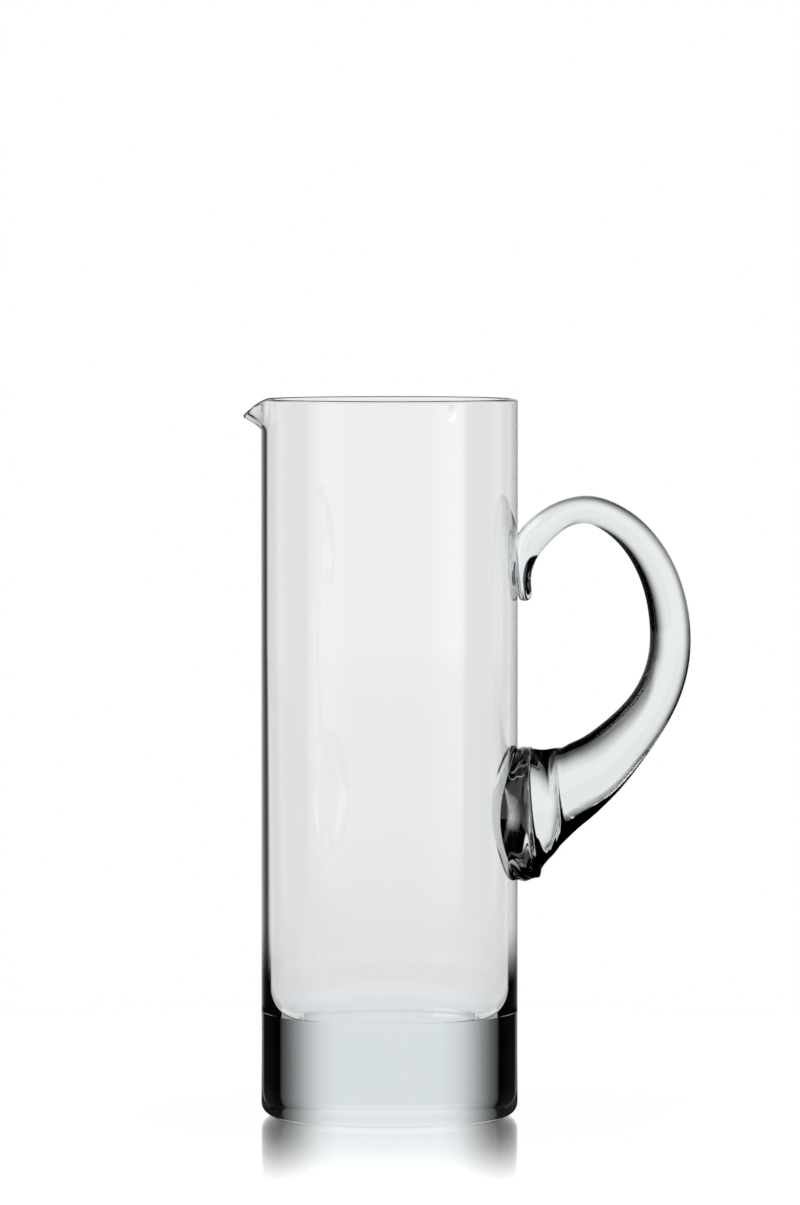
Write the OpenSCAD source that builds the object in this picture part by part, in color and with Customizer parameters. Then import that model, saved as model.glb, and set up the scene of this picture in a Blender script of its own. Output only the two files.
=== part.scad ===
// Mouth-blown glass cocktail pitcher: a straight thin-walled vessel on a heavy solid base,
// with a pulled pouring lip on the -X side and an applied handle on the +X side.
// Millimetres, +Z up. The origin is the centre of the foot, on the vessel's axis.

/* [Vessel] */
// Outside diameter of the body
body_d = 88; // [70:1:110]
// Height from the table to the rim
body_h = 246; // [190:1:300]
// Wall thickness in the straight upper part and at the rim
rim_wall = 2.2; // [1.6:0.1:3.4]
// Wall thickness just above the inner floor
low_wall = 3; // [2.2:0.1:4.4]
// Height of the wall that runs straight below the rim before it thickens
straight_h = 100; // [40:1:120]
// Thickness of the solid base under the inner floor
base_t = 34.5; // [16:0.5:50]
// Rounding between the inner floor and the wall
floor_r = 10.5; // [4:0.5:18]
// Rounding of the outer edge of the foot
foot_r = 4.5; // [1.5:0.5:8]

/* [Pouring lip] */
// How far the tip of the lip stands out from the wall
lip_reach = 6; // [2:0.5:10]
// How far the tip of the lip drops below the rim
lip_drop = 5; // [1:0.5:7]
// Height of the wall that was drawn out to make the lip
lip_h = 12.5; // [9:0.5:20]
// Angle of the rim on each side of the tip that the lip takes up
lip_half_angle = 25; // [15:1:40]

/* [Handle seal] */
// Height of the seal's centre above the table
seal_z = 103.5; // [85:0.5:115]
// Height of the pad of glass pressed on the wall
seal_h = 46.5; // [36:0.5:54]
// Width of the pad across the wall
seal_w = 48; // [36:0.5:54]
// How far the pad stands proud of the wall
seal_proud = 5.5; // [3.5:0.5:7.5]

/* [Handle rod] */
// From the wall to the outermost point of the handle's centre line
handle_reach = 52.7; // [44:0.1:64]
// From the rim down to the highest point of the handle's centre line
rim_gap = 38; // [28:0.5:50]
// Thickness of the rod at the grip, seen from the side
grip_t = 13.4; // [10:0.1:17]
// Width of the rod at the grip, across the hand
grip_w = 11.4; // [8:0.1:16]
// Thickness of the rod where it turns over at the top
crown_t = 9.4; // [7:0.1:12]

/* [Handle tail] */
// Length of the tail that is pressed on the wall
tail_l = 18.5; // [14:0.5:26]
// Width of the tail where it is pressed flat
tail_w = 19; // [12:0.5:24]
// Thickness of the tail over its lower half
tail_t = 5.6; // [4:0.1:8]

/* [Hidden] */
$fn = 96;

// Vessel, worked out from the sizes above
body_r = body_d / 2;
bore_r = body_r - rim_wall;
low_r = body_r - low_wall;
rim_r = rim_wall / 2;
floor_edge = min(floor_r, low_r / 2);
foot_edge = min(foot_r, base_t / 2);
taper_top = max(body_h - straight_h, base_t + 2 * floor_edge);
overrun = body_d / 10;

// Lip: the drawn sheet laps into the plain wall by a little, and is a hair thinner there
lap_angle = 1;
lap_h = rim_wall / 2;
skin = rim_wall / 100;
lip_root = body_h - lip_h - rim_wall;
lip_steps = 36;
lip_rows = 14;
lip_round = 6;
flare_share = 0.22;
droop_power = 1.4;

// Handle, from the seal on the wall round the loop to the tip of the tail
handle_rise = body_h - rim_gap - seal_z;
tail_top_share = 0.7;
tail_top = seal_z + handle_rise - tail_l * tail_top_share;
sink = low_wall / 3;
ring_sides = 24;
ring_steps = 2;
// How much fuller the rod is on the outer side of the loop than on the inner side
full_share = 0.24;
// How closely the flanks of a ridge or a keel run into the plain oval of the section
flank_blend = 5;
// Stations of the seal: shares of seal_proud outwards, of seal_h upwards, of seal_h in height and of
// seal_w in width, how far the section wraps round the wall and turns with the path, and how sharp the
// ridge along its top and the keel along its bottom are
seal_shares = [
    [0.35, 0, 1, 0.92, 1, 0, 0, 0],
    [0.65, 0, 0.985, 0.86, 1, 0, 0, 0],
    [0.84, 0.005, 0.975, 0.75, 1, 0, 0, 0],
    [0.96, 0.01, 0.97, 0.58, 1, 0.1, 0, 0],
    [1.02, 0.012, 0.965, 0.44, 1, 0.15, 0.3, 0],
    [1.25, 0.03, 0.92, 0.43, 0.5, 0.15, 0.6, 0],
    [1.6, 0.055, 0.84, 0.42, 0.1, 0.12, 1, 0],
    [2, 0.085, 0.785, 0.415, 0, 0.1, 1.3, 0.3],
    [2.35, 0.115, 0.74, 0.41, 0, 0.1, 0.6, 0.8],
    [2.6, 0.135, 0.71, 0.41, 0, 0.1, 0.3, 1.4]
];
// Stations of the rod: shares of the reach outwards and of the rise upwards, of the way from the grip's
// thickness to the seal's and to the crown's, of the way from the grip's width to the seal's, how far
// the section turns with the path, its share of the fullness, and how sharp its keel is
rod_shares = [
    [0.345, 0.083, 0.43, 0, 0.21, 0.3, 0, 1.4],
    [0.43, 0.113, 0.33, 0, 0.17, 0.6, 0.3, 0.8],
    [0.59, 0.178, 0.19, 0, 0.08, 1, 0.8, 0],
    [0.81, 0.30, 0.065, 0, 0.02, 1, 1, 0],
    [0.945, 0.42, 0.02, 0, 0, 1, 1, 0],
    [1, 0.55, 0, 0, 0, 1, 1, 0],
    [0.97, 0.70, 0, 0.05, 0, 1, 1, 0],
    [0.87, 0.83, 0, 0.25, 0, 1, 0.8, 0],
    [0.71, 0.933, 0, 0.55, 0, 1, 0.5, 0],
    [0.49, 0.995, 0, 0.92, 0.02, 1, 0.2, 0],
    [0.29, 0.98, 0, 1, 0.08, 1, 0, 0]
];
// Stations of the tail: shares of tail_t outwards, of tail_l downwards, of tail_t in thickness and
// of tail_w in width, then the wrap round the wall
tail_shares = [
    [1.34, -0.28, 1.85, 0.9, 0.3],
    [0.62, 0, 1.76, 1, 1],
    [0.38, 0.38, 1.1, 0.95, 1],
    [0.38, 0.66, 0.8, 0.8, 1],
    [0.42, 0.86, 0.88, 0.66, 1],
    [0.42, 0.98, 0.7, 0.45, 1],
    [0.42, 1.02, 0.3, 0.2, 1]
];

// Stations along the handle: [out from the axis, height, thickness, width, wrap, turn, fullness, ridge, keel]
root_station = [body_r - sink, seal_z, seal_h - 2 * sink, seal_w - 2 * sink, 1, 0, 0, 0, 0];
seal_stations = [for (s = seal_shares) [
    body_r + seal_proud * s[0], seal_z + seal_h * s[1], seal_h * s[2], seal_w * s[3], s[4], s[5], 0, s[6], s[7]
]];
rod_stations = [for (s = rod_shares) [
    body_r + handle_reach * s[0],
    seal_z + handle_rise * s[1],
    grip_t + (seal_h - grip_t) * s[2] + (crown_t - grip_t) * s[3],
    grip_w + (seal_w - grip_w) * s[4],
    0,
    s[5],
    full_share * s[6],
    0,
    s[7]
]];
tail_stations = [for (s = tail_shares) [
    body_r + tail_t * s[0], tail_top - tail_l * s[1], tail_t * s[2], tail_w * s[3], s[4], 1, 0, 0, 0
]];
stations = concat([root_station], seal_stations, rod_stations, tail_stations);

// A smooth curve through a list of stations
function clamp_at(list, i) = list[max(0, min(len(list) - 1, i))];
function curve_at(list, i, t) =
    let (a = clamp_at(list, i - 1), b = list[i], c = clamp_at(list, i + 1), d = clamp_at(list, i + 2))
    (2 * b + (c - a) * t + (2 * a - 5 * b + 4 * c - d) * t * t + (3 * b - a - 3 * c + d) * t * t * t) / 2;
handle_line = [
    for (i = [0 : len(stations) - 2], k = [0 : ring_steps - 1]) curve_at(stations, i, k / ring_steps),
    stations[len(stations) - 1]
];

// Heading of the path at ring i
function heading(i) =
    let (a = clamp_at(handle_line, i - 1), b = clamp_at(handle_line, i + 1))
    atan2(b[1] - a[1], b[0] - a[0]);

// Narrows half a section's width, at a depth below its edge, to the flanks of a ridge or a keel
function flanked(y, depth, sharp) =
    sharp <= 0 || depth <= 0 ? y : y / pow(1 + pow(abs(y) * sharp / depth, flank_blend), 1 / flank_blend);

// One ring of the handle: an oval, fuller on the loop's outer side, laid round the wall by wrap
function ring(i) =
    let (s = handle_line[i], lean = heading(i) * min(1, max(0, s[5])), half_t = s[2] / 2, half_w = s[3] / 2)
    [for (k = [0 : ring_sides - 1])
        let (q = 360 * k / ring_sides, across = half_t * cos(q), oval = half_w * sin(q) * (1 + s[6] * cos(q)),
             y = flanked(flanked(oval, half_t - across, s[8]), half_t + across, s[7]),
             sag = s[4] * (body_r - sqrt(max(0, body_r * body_r - y * y))))
        [s[0] + across * sin(lean) - sag, y, s[1] - across * cos(lean)]
    ];

// A closed skin over equal rings of points, with flat ends
module skin_over(rings) {
    sides = len(rings[0]);
    last = len(rings) - 1;
    polyhedron(
        points = [for (r = rings) each r],
        faces = [
            for (i = [0 : last - 1], k = [0 : sides - 1])
                let (n = (k + 1) % sides, a = i * sides, b = a + sides)
                each [[a + k, b + k, b + n], [a + k, b + n, a + n]],
            [for (k = [0 : sides - 1]) k],
            [for (k = [sides - 1 : -1 : 0]) last * sides + k]
        ]
    );
}

// How far the lip is drawn at an angle from its tip, and how that grows with height
function draw_at(angle) = abs(angle) < lip_half_angle ? pow(cos(90 * angle / lip_half_angle), 2) : 0;
function flare_at(u) = u <= 0 ? 0 : (1 + flare_share) * u * u / (u + flare_share);

// Middle of the lip's sheet at an angle and a share of its height: [radius, height]
function sheet_at(angle, u) = [
    body_r - rim_r + lip_reach * draw_at(angle) * flare_at(u),
    body_h - rim_r - (1 - u) * lip_h - lip_drop * pow(draw_at(angle), droop_power) * flare_at(u)
];
function sheet_normal(angle, u) =
    let (step = 1 / lip_rows, d = sheet_at(angle, u) - sheet_at(angle, u - step)) [d[1], -d[0]] / norm(d);

// Outline of the sheet at one angle: up the outside, over the rounded rim, down the inside
function lip_section(angle) =
    let (half = rim_r - skin, foot = [body_r - rim_r, lip_root - lap_h],
         tip = sheet_at(angle, 1), out = sheet_normal(angle, 1), up = [-out[1], out[0]])
    concat(
        [foot + [half, 0]],
        [for (i = [0 : lip_rows - 1]) sheet_at(angle, i / lip_rows) + half * sheet_normal(angle, i / lip_rows)],
        [for (i = [0 : lip_round]) tip + half * (cos(180 * i / lip_round) * out + sin(180 * i / lip_round) * up)],
        [for (i = [lip_rows - 1 : -1 : 0])
            sheet_at(angle, i / lip_rows) - half * sheet_normal(angle, i / lip_rows)],
        [foot - [half, 0]]
    );
function lip_ring(angle) = [for (p = lip_section(angle)) [-p[0] * cos(angle), p[0] * sin(angle), p[1]]];

module lip_sheet() {
    span = lip_half_angle + 2 * lap_angle;
    skin_over([for (i = [0 : lip_steps]) lip_ring(-span + 2 * span * i / lip_steps)]);
}

// Gap in the plain wall that the drawn sheet fills
module lip_gap() {
    side = lip_half_angle + lap_angle;
    far = 2 * body_r;
    translate([0, 0, lip_root])
        linear_extrude(lip_h + rim_wall + overrun)
            polygon([[0, 0], far * [-cos(side), -sin(side)], [-far, 0], far * [-cos(side), sin(side)]]);
}

// The outer lower quarter of a disc, for a rounded corner
module quarter(r) {
    intersection() {
        circle(r);
        translate([0, -r]) square(r);
    }
}

module outside_section() {
    square([body_r - foot_edge, body_h - rim_r]);
    translate([0, foot_edge]) square([body_r, body_h - rim_r - foot_edge]);
    translate([body_r - foot_edge, foot_edge]) quarter(foot_edge);
}

module hollow_section() {
    floor_top = base_t + floor_edge;
    translate([0, base_t]) square([low_r - floor_edge, floor_edge]);
    translate([low_r - floor_edge, floor_top]) quarter(floor_edge);
    polygon([[0, floor_top], [low_r, floor_top], [bore_r, taper_top], [0, taper_top]]);
    translate([0, taper_top]) square([bore_r, body_h - taper_top + overrun]);
}

module rim_section() {
    translate([body_r - rim_r, body_h - rim_r]) intersection() {
        circle(rim_r);
        translate([-rim_r, 0]) square([rim_wall, rim_r]);
    }
}

module vessel() {
    color("#E4EAEA") union() {
        difference() {
            rotate_extrude() {
                difference() {
                    outside_section();
                    hollow_section();
                }
                rim_section();
            }
            lip_gap();
        }
        lip_sheet();
    }
}

module handle() {
    color("#DCE4E6") difference() {
        skin_over([for (i = [0 : len(handle_line) - 1]) ring(i)]);
        cylinder(h = body_h, r = body_r);
    }
}

vessel();
handle();
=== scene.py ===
"""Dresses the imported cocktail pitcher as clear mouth-blown glass in a white studio."""
import logging
import math
from dataclasses import dataclass
from enum import Enum
from typing import Any, NamedTuple

import bmesh
import bpy
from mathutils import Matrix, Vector


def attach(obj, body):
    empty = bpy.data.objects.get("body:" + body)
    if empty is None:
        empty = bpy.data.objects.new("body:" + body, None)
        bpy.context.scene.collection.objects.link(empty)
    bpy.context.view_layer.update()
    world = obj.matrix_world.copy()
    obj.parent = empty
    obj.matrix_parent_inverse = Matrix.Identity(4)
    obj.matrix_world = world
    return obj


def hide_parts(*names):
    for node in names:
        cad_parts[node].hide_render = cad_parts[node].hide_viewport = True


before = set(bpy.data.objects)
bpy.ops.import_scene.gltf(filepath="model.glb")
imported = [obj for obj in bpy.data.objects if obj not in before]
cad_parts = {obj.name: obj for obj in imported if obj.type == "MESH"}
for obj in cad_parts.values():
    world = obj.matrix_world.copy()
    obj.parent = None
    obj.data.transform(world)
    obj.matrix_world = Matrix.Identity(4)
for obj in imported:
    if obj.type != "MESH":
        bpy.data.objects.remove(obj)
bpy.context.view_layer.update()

LOG = logging.getLogger("pitcher")
MM_PER_M = 1000.0
ROUNDING = 1e-6

Point = tuple[float, float, float]
Colour = tuple[float, float, float, float]
Band = tuple[float, float]
Levels = tuple[Band, ...]
Inputs = dict[Any, Any] | None
Rows = list[tuple[Any, Any, str]]
Tree = bpy.types.NodeTree
Node = bpy.types.Node
Socket = bpy.types.NodeSocket
Object = bpy.types.Object
Material = bpy.types.Material

# Node settings that the finishes and the surround share.
TIMES = {"operation": "MULTIPLY"}
MINUS = {"operation": "SUBTRACT"}
LARGER = {"operation": "MAXIMUM"}
ABOVE = {"operation": "GREATER_THAN"}
BELOW = {"operation": "LESS_THAN"}
CLAMP = {"use_clamp": True}
SOFT = {"interpolation_type": "SMOOTHSTEP"}
BLEND = {"data_type": "RGBA"}
FULL_TURN = {"From Min": -math.pi, "From Max": math.pi}
LEVEL_PART = (1.0, 1.0, 0.0)

# Limits for counting how often a ray was mirrored or went through a surface, half a step below each count.
ONCE, TWICE, THRICE, FOUR_TIMES = 0.5, 1.5, 2.5, 3.5


class Mesh(Enum):
    """How finely the glass and the floor are divided, so that refractions stay smooth."""

    TURN_STEPS = 256
    ROD_SIDES = 72
    STATION_STEPS = 10
    FILLET_STEPS = 16
    FLOOR_SIDES = 96


def mm(value: float) -> float:
    """Turns millimetres into Blender's metres."""
    return value / MM_PER_M


def linear(hex_colour: str) -> Colour:
    """Turns an sRGB hex colour into linear RGBA.

    Args:
        hex_colour: Six hex digits after a hash, such as "#FFFFFF".

    Returns:
        Linear red, green, blue and an alpha of 1.
    """
    shares = [int(hex_colour[i:i + 2], 16) / 255.0 for i in (1, 3, 5)]
    red, green, blue = [s / 12.92 if s <= 0.04045 else ((s + 0.055) / 1.055) ** 2.4 for s in shares]
    return red, green, blue, 1.0


def grey(level: float) -> Colour:
    """Gives a neutral linear colour of that brightness."""
    return level, level, level, 1.0


def both_sides(half: Levels) -> Levels:
    """Makes a whole ring from its right half, whose angles start at 0 or above."""
    return tuple((-angle, level) for angle, level in reversed(half) if angle > 0) + half


# Black cards low down at both sides, which the glass sees by way of the floor and of its own surface.
SIDE_CARDS = both_sides(((0, 0.0), (12, 0.2), (36, 1.0), (104, 1.0), (112, 0.0), (180, 0.0)))
# Right half of the white sweep behind the object, which falls off to black at its edge.
SWEEP_HALF = ((16, 0.88), (23, 0.77), (30, 0.49), (34, 0.33), (40, 0.16), (46, 0.06), (47, 0.0), (50, 0.0))


def set_stops(node: Node, stops: Levels) -> None:
    """Gives a colour ramp grey stops over a full turn.

    Args:
        node: The colour ramp node.
        stops: Angles in degrees, from -180 to 180, with their brightness.
    """
    elements = node.color_ramp.elements
    elements.remove(elements[0])
    for i, (angle, level) in enumerate(stops):
        place = (angle + 180.0) / 360.0
        stop = elements.new(place) if i else elements[0]
        stop.position = place
        stop.color = grey(level)


def add_node(tree: Tree, kind: str, settings: Inputs = None, values: Inputs = None, links: Inputs = None,
             stops: Levels = ()) -> Node:
    """Adds a shader node with its settings, socket values and incoming links.

    Args:
        tree: The node tree to add to.
        kind: The node's type, without the words ShaderNode in front.
        settings: Node properties by name.
        values: Default values by input name or number.
        links: Output sockets, or nodes whose first output is meant, by input name or number.
        stops: Stops of a colour ramp.

    Returns:
        The new node.
    """
    node = tree.nodes.new("ShaderNode" + kind)
    for name, value in (settings or {}).items():
        setattr(node, name, value)
    for name, value in (values or {}).items():
        node.inputs[name].default_value = value
    for name, source in (links or {}).items():
        tree.links.new(source if isinstance(source, Socket) else source.outputs[0], node.inputs[name])
    if stops:
        set_stops(node, stops)
    return node


def add_product(tree: Tree, *factors: Any) -> Any:
    """Multiplies a row of shares and tests, so that the product counts only where all of them do.

    Args:
        tree: The node tree to add to.
        *factors: Nodes or sockets, and tests as a comparison's settings, its value and its limit.

    Returns:
        The product, as a node, or the only factor itself.
    """
    product = None
    for factor in factors:
        if isinstance(factor, tuple):
            settings, value, limit = factor
            factor = add_node(tree, "Math", settings, {1: limit}, {0: value})
        product = factor if product is None else add_node(tree, "Math", TIMES, links={0: product, 1: factor})
    return product


def add_turn(tree: Tree, way: Socket) -> Node:
    """Adds the angle round the object.

    Args:
        tree: The node tree to add to.
        way: A place or a direction.

    Returns:
        The angle from straight behind, from 0 to 1 over a full turn.
    """
    axes = add_node(tree, "SeparateXYZ", links={"Vector": way}).outputs
    angle = add_node(tree, "Math", {"operation": "ARCTAN2"}, links={0: axes["X"], 1: axes["Y"]})
    return add_node(tree, "MapRange", values=FULL_TURN, links={"Value": angle})


def bare_material(name: str) -> Material:
    """Makes a node material that has no nodes yet."""
    material = bpy.data.materials.new(name)
    material.use_nodes = True
    material.node_tree.nodes.clear()
    return material


def deselect_all() -> None:
    """Leaves edit mode and deselects every object, the CAD nodes among them."""
    if bpy.context.object and bpy.context.object.mode != "OBJECT":
        bpy.ops.object.mode_set(mode="OBJECT")
    bpy.ops.object.select_all(action="DESELECT")


def make_active(piece: Object) -> None:
    """Selects one object alone and makes it the active one."""
    deselect_all()
    piece.select_set(True)
    bpy.context.view_layer.objects.active = piece


def apply_modifier(piece: Object, kind: str, **settings: Any) -> None:
    """Adds a modifier with its settings and applies it.

    Args:
        piece: The object to change.
        kind: The modifier's type.
        **settings: The modifier's properties by name.
    """
    make_active(piece)
    modifier = piece.modifiers.new(kind.lower(), kind)
    for name, value in settings.items():
        setattr(modifier, name, value)
    bpy.ops.object.modifier_apply(modifier=modifier.name)


class Skin(NamedTuple):
    """What a finish reads at each point of the glass, as parts of its node tree."""

    tree: Tree
    place: Socket
    height: Socket  # height above the table
    lean: Node  # level share of the surface: 0 on an upright wall, 1 on a floor
    inner: Socket  # 1 where light meets the surface from inside the glass, or 0


@dataclass(frozen=True)
class ClearGlass:
    """Clear colourless barware glass, fire-polished: sharp bright refraction, with soft hand-made ripples."""

    name: str
    tint: str  # colour that light keeps when it goes through a surface
    ripple_mm: Point  # width of the ripples along X, Y and Z
    ripple_depth: float = 0.008  # height of the ripples in mm
    ripple_rough: float = 0.4  # how much finer ripples lie on the large ones
    painted_shade_level: float = 0.004  # brightness of the painted shade, a black matt put into thick glass where it throws the light away from the eye
    ior: float = 1.5

    @property
    def critical(self) -> float:
        """Gives the Layer Weight facing above which glass mirrors all the light that is inside it."""
        return 1.0 - math.sqrt(1.0 - 1.0 / self.ior ** 2)

    def make(self) -> Material:
        """Builds the material.

        Returns:
            The glass as a node material on Object coordinates.
        """
        material = bpy.data.materials.new(self.name)
        material.use_nodes = True
        tree = material.node_tree
        shader = tree.nodes["Principled BSDF"]
        for socket, value in (("IOR", self.ior), ("Transmission Weight", 1.0), ("Roughness", 0.0),
                              ("Base Color", linear(self.tint))):
            shader.inputs[socket].default_value = value
        skin = self.measure(tree)
        normal = self.shape(skin, self.add_ripple(skin))
        tree.links.new(normal, shader.inputs["Normal"])
        facing = add_node(tree, "LayerWeight", links={"Normal": normal}).outputs["Facing"]
        self.dress(skin, shader)
        whole = self.shade(skin, shader, facing)
        tree.links.new(whole.outputs[0], tree.nodes["Material Output"].inputs["Surface"])
        return material

    @staticmethod
    def measure(tree: Tree) -> Skin:
        """Adds what the finish reads at each point.

        Args:
            tree: The material's node tree.

        Returns:
            The parts that the other methods use.
        """
        place = add_node(tree, "TexCoord").outputs["Object"]
        surface = add_node(tree, "NewGeometry").outputs
        height = add_node(tree, "SeparateXYZ", links={"Vector": place}).outputs["Z"]
        tilt = add_node(tree, "SeparateXYZ", links={"Vector": surface["True Normal"]}).outputs["Z"]
        lean = add_node(tree, "Math", {"operation": "ABSOLUTE"}, links={0: tilt})
        return Skin(tree, place, height, lean, surface["Backfacing"])

    def add_ripple(self, skin: Skin) -> Socket:
        """Adds the long soft ripples of hand-worked glass as a faint bump.

        Args:
            skin: What the finish reads.

        Returns:
            The rippled normal.
        """
        scale = tuple(MM_PER_M / width for width in self.ripple_mm)
        spread = add_node(skin.tree, "Mapping", values={"Scale": scale}, links={"Vector": skin.place})
        ripple = add_node(skin.tree, "TexNoise", links={"Vector": spread},
                          values={"Scale": 1.0, "Detail": 1.0, "Roughness": self.ripple_rough})
        bump = add_node(skin.tree, "Bump", values={"Strength": 1.0, "Distance": mm(self.ripple_depth)},
                        links={"Height": ripple})
        return bump.outputs["Normal"]

    def shape(self, skin: Skin, normal: Socket) -> Socket:
        """Gives the normal to shade with, here the rippled one as it is."""
        return normal

    def dress(self, skin: Skin, shader: Node) -> None:
        """Adds colour and wear that differ from place to place, here none."""

    def shade(self, skin: Skin, shader: Node, facing: Socket) -> Node:
        """Gives the shader with its dark and clear parts, here the glass as it is."""
        return shader

    def paint_shade(self, tree: Tree, shader: Node, share: Node) -> Node:
        """Gives the glass with a share of painted shade, a black matt, mixed in."""
        black = add_node(tree, "BsdfDiffuse", values={"Color": grey(self.painted_shade_level)})
        return add_node(tree, "MixShader", links={0: share, 1: shader, 2: black})


@dataclass(frozen=True)
class BlownGlass(ClearGlass):
    """Glass of the vessel: a cool solid base, painted shade in the rounded inner corner, and fine scuffs
    under the foot.
    """

    deep_tint: str = "#EDF4F6"  # colour that light keeps in the solid base
    deep_below: float = 36.0  # height in mm below which the base is solid
    deep_blend: float = 3.0  # half of the blend's height in mm
    deep_out: float = 43.0  # radius in mm of the base's outer skin
    round_below: float = 46.0  # height in mm of the rounded inner corner's top
    flat: float = 0.9995  # lean above which a surface is a floor and not part of a rounding
    dark_lean: float = 0.95  # lean below which the corner gets painted shade
    # Distance from the axis in mm at which mirrored light starts to be lost to painted shade in the corner.
    dark_out: float = 24.7
    stray_out: float = 29.36  # distance at which it finds its way out again
    dark_top: float = 68.0  # height in mm at which the corner's painted shade has faded out
    clear_lean: float = 0.75  # lean above which the inner floor clears at a glancing angle
    clear_share: float = 0.65  # how clear it gets
    glance_from: float = 0.8  # facing at which it starts to clear
    glance_full: float = 0.88  # facing at which it is as clear as it gets
    # Roughness of the clean skin, just enough for the surround to tell it from the handle's.
    polish: float = 0.01
    scuff_mm: float = 0.8  # size of the scuffs
    scuff_detail: float = 3.0  # how much finer marks lie among them
    scuff_top: float = 0.9  # height in mm at which the scuffs end
    scuff_full: float = 0.1  # height in mm below which they are strongest
    scuff_rough: float = 0.25  # roughness of the strongest scuffs

    def shape(self, skin: Skin, normal: Socket) -> Socket:
        """Lets the rounded foot and the rounded inner corner bend light as the straight wall does.

        Args:
            skin: What the finish reads.
            normal: The rippled normal.

        Returns:
            The normal to shade with.
        """
        tree = skin.tree
        share = add_product(tree, (BELOW, skin.lean, self.flat), (BELOW, skin.height, mm(self.round_below)))
        level = add_node(tree, "VectorMath", TIMES, {1: LEVEL_PART}, {0: normal})
        upright = add_node(tree, "VectorMath", {"operation": "NORMALIZE"}, links={0: level})
        mixed = add_node(tree, "Mix", {"data_type": "VECTOR"}, links={0: share, 4: normal, 5: upright})
        return mixed.outputs[1]

    def dress(self, skin: Skin, shader: Node) -> None:
        """Adds the cool tint of the solid base, and the scuffs that the foot gets from being set down."""
        tree = skin.tree
        level = add_node(tree, "VectorMath", TIMES, {1: LEVEL_PART}, {0: skin.place})
        away = add_node(tree, "VectorMath", {"operation": "LENGTH"}, links={0: level}).outputs["Value"]
        solid = add_node(tree, "MapRange", SOFT, {"From Min": mm(self.deep_below + self.deep_blend),
                                                  "From Max": mm(self.deep_below - self.deep_blend)},
                         {"Value": skin.height})
        deep = add_product(tree, solid, (ABOVE, away, mm(self.deep_out)))
        colour = add_node(tree, "Mix", BLEND, {6: linear(self.tint), 7: linear(self.deep_tint)}, {0: deep})
        tree.links.new(colour.outputs[2], shader.inputs["Base Color"])
        scuff = add_node(tree, "TexNoise", links={"Vector": skin.place},
                         values={"Scale": MM_PER_M / self.scuff_mm, "Detail": self.scuff_detail})
        near = add_node(tree, "MapRange", links={"Value": skin.height}, values={
            "From Min": mm(self.scuff_top), "From Max": mm(self.scuff_full), "To Max": self.scuff_rough})
        rough = add_node(tree, "Math", LARGER, {1: self.polish}, {0: add_product(tree, scuff, near)})
        tree.links.new(rough.outputs["Value"], shader.inputs["Roughness"])

    def shade(self, skin: Skin, shader: Node, facing: Socket) -> Node:
        """Adds painted shade in the inner corner, a black matt where it mirrors light into the foot, and the
        clear inner floor.

        Args:
            skin: What the finish reads.
            shader: The glass itself.
            facing: How glancing the light is: 0 straight on, 1 along the surface.

        Returns:
            The mixed shader.
        """
        tree = skin.tree
        trapped = ((ABOVE, skin.inner, ONCE), (ABOVE, facing, self.critical))
        over_foot = (ABOVE, skin.height, mm(self.round_below / 2.0))
        in_corner = (BELOW, skin.height, mm(self.round_below))
        # Facing times 2 less facing is the squared sine of the light's angle. Times the squared distance from
        # the axis, it tells how far from the axis the light runs, and so where the corner sends it.
        level = add_node(tree, "VectorMath", TIMES, {1: LEVEL_PART}, {0: skin.place})
        away = add_node(tree, "VectorMath", {"operation": "DOT_PRODUCT"}, links={0: level, 1: level})
        rest = add_node(tree, "Math", MINUS, {0: 2.0}, {1: facing})
        past = add_product(tree, rest, facing, away.outputs["Value"])
        lost = add_product(tree, (ABOVE, past, mm(self.dark_out) ** 2),
                           (BELOW, past, mm(self.stray_out) ** 2))
        fade = add_node(tree, "MapRange", SOFT, links={"Value": skin.height},
                        values={"From Min": mm(self.dark_top), "From Max": mm(self.round_below)})
        # Painted shade: a black matt where light is trapped in the corner, faded out towards the top.
        dark = add_product(tree, fade, *trapped, lost, (BELOW, skin.lean, self.dark_lean), over_foot)
        glance = add_node(tree, "MapRange", SOFT, {"From Min": self.glance_from, "From Max": self.glance_full,
                                                   "To Max": self.clear_share}, {"Value": facing})
        glance = add_product(tree, glance, (BELOW, skin.inner, ONCE), (ABOVE, skin.lean, self.clear_lean),
                             over_foot, in_corner)
        freed = add_node(tree, "Math", MINUS, {0: 1.0}, {1: lost})
        freed = add_product(tree, freed, *trapped, over_foot, in_corner)
        share = add_node(tree, "Math", LARGER, links={0: glance, 1: freed})
        clear = add_node(tree, "BsdfTransparent")
        return add_node(tree, "MixShader", links={0: share, 1: self.paint_shade(tree, shader, dark), 2: clear})


@dataclass(frozen=True)
class DrawnGlass(ClearGlass):
    """Glass of the handle: bright and liquid where it is thin, with painted shade, black accents, in its
    thick lower part.
    """

    thick_below: float = 150.0  # height in mm below which light that is mirrored inside ends in painted shade

    def shade(self, skin: Skin, shader: Node, facing: Socket) -> Node:
        """Gives the glass with painted shade, a black matt where it is thick and mirrors the light inside it.
        """
        dark = add_product(skin.tree, (ABOVE, facing, self.critical), skin.inner,
                           (BELOW, skin.height, mm(self.thick_below)))
        return self.paint_shade(skin.tree, shader, dark)


@dataclass(frozen=True)
class FusedSeam:
    """The face where the hot handle melted into the wall: no boundary is left, and light runs through."""

    name: str = "fused_seam_glass"

    def make(self) -> Material:
        """Builds the material.

        Returns:
            A clear material that neither bends nor reflects light.
        """
        material = bare_material(self.name)
        clear = add_node(material.node_tree, "BsdfTransparent")
        add_node(material.node_tree, "OutputMaterial", links={"Surface": clear})
        return material


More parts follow.
